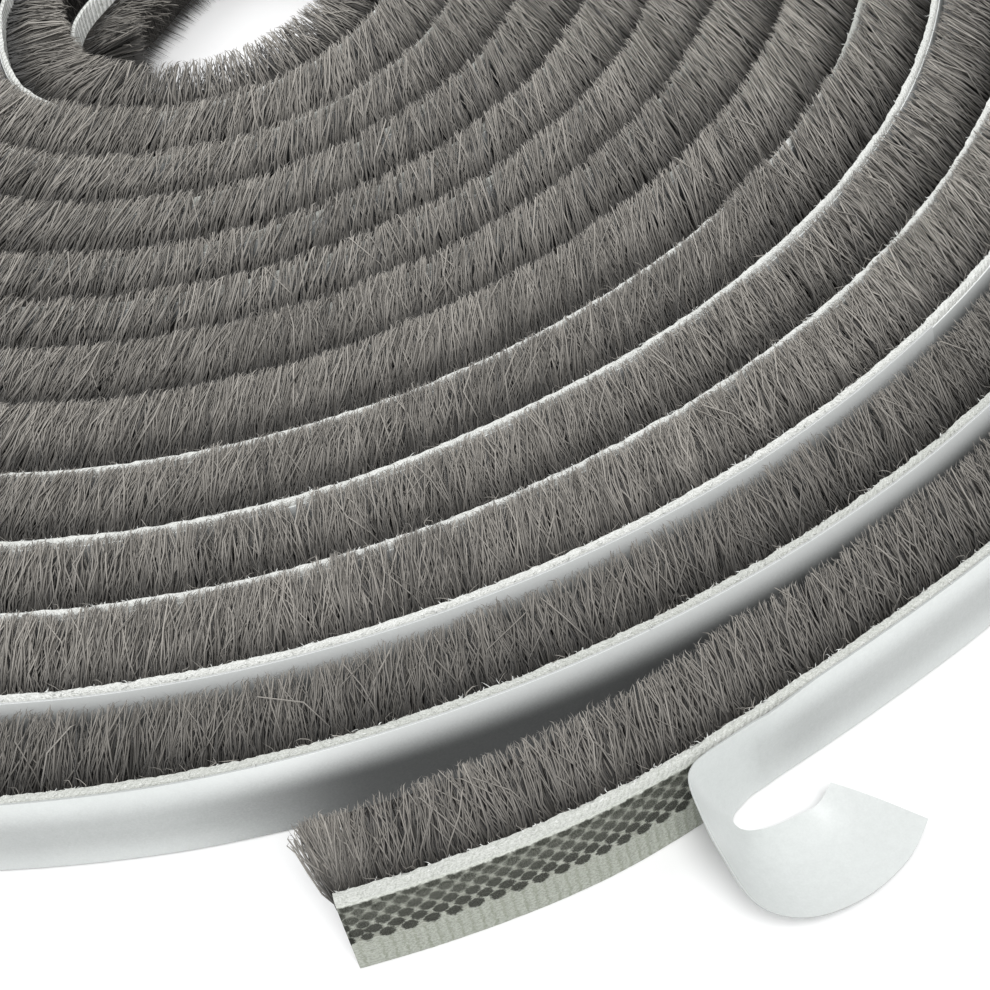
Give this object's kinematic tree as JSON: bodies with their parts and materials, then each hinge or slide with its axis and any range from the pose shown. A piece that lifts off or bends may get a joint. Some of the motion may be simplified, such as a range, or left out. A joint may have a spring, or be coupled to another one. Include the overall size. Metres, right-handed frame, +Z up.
{
  "type": "brush seal strip coil",
  "caption": "Self-adhesive brush pile weather seal strip wound flat in an open spiral coil, its release liner peeled back at the outer end.",
  "frame": {"origin": "centre of the bounding box on the surface the coil lies on", "axes": "+Z up along the coil's upright axis; -Y faces the picture's camera; the outer cut end faces -Y"},
  "size_m": [0.257, 0.2708, 0.009],
  "materials": {
    "coil": "grey polypropylene pile between thin white backing edges",
    "pile": "taupe-grey upright fibres, matt",
    "backing": "off-white woven tape with fuzzy edges",
    "adhesive": "clear tacky film over the woven back",
    "liner": "satin white silicone-coated liner"
  },
  "bodies": {
    "root": {"wound_coil": "coil", "pile": "pile", "backing": "backing", "adhesive_tape": "adhesive", "release_liner": "liner"}
  },
  "joints": []
}
